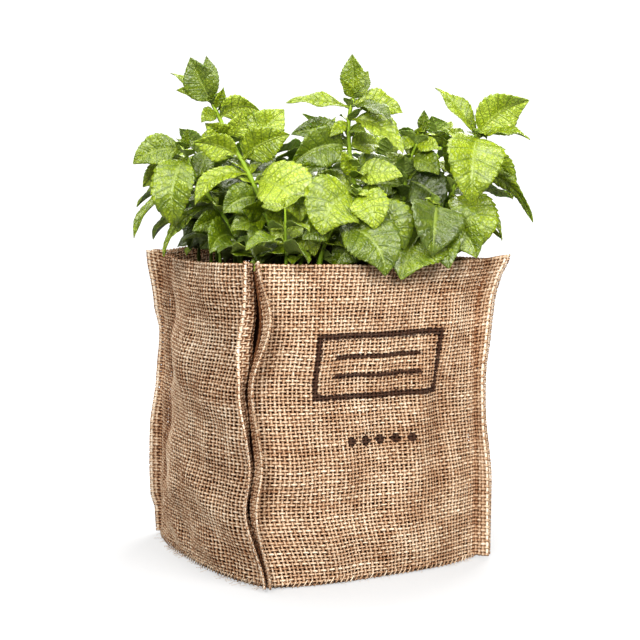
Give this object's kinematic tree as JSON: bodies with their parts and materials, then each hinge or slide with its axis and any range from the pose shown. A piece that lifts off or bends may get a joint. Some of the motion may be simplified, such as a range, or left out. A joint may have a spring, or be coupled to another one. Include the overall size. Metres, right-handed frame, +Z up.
{
  "type": "potted mint plant",
  "caption": "Bushy mint with toothed, wrinkled leaves in opposite pairs, growing in a square, open-topped bag of woven hessian with outward corner seams.",
  "frame": {"origin": "middle of the bag's base, on the surface that the bag stands on", "axes": "+Z up, the front panel faces -Y and the left panel faces -X"},
  "size_m": [0.2325, 0.2038, 0.2948],
  "materials": {
    "hessian": "coarse open weave",
    "liner": "satin film",
    "compost": "rough",
    "mint": "satin"
  },
  "bodies": {
    "root": {"bag_front_panel": "hessian", "bag_right_panel": "hessian", "bag_back_panel": "hessian", "bag_left_panel": "hessian", "bag_base_panel": "hessian", "liner": "liner", "compost": "compost", "mint_stem_left_tall": "mint", "mint_stem_left_low": "mint", "mint_stem_middle_tall": "mint", "mint_stem_front_low": "mint", "mint_stem_front_middle": "mint", "mint_stem_right_shoot": "mint", "mint_stem_right_tall": "mint", "mint_stem_front_right": "mint", "mint_stem_left_edge": "mint", "mint_stem_back_left": "mint", "mint_stem_back_middle": "mint", "mint_stem_back_right": "mint", "mint_stem_right_edge": "mint", "mint_stem_far_right": "mint", "mint_stem_far_corner": "mint", "mint_stem_far_middle": "mint", "mint_stem_far_left": "mint"}
  },
  "joints": []
}
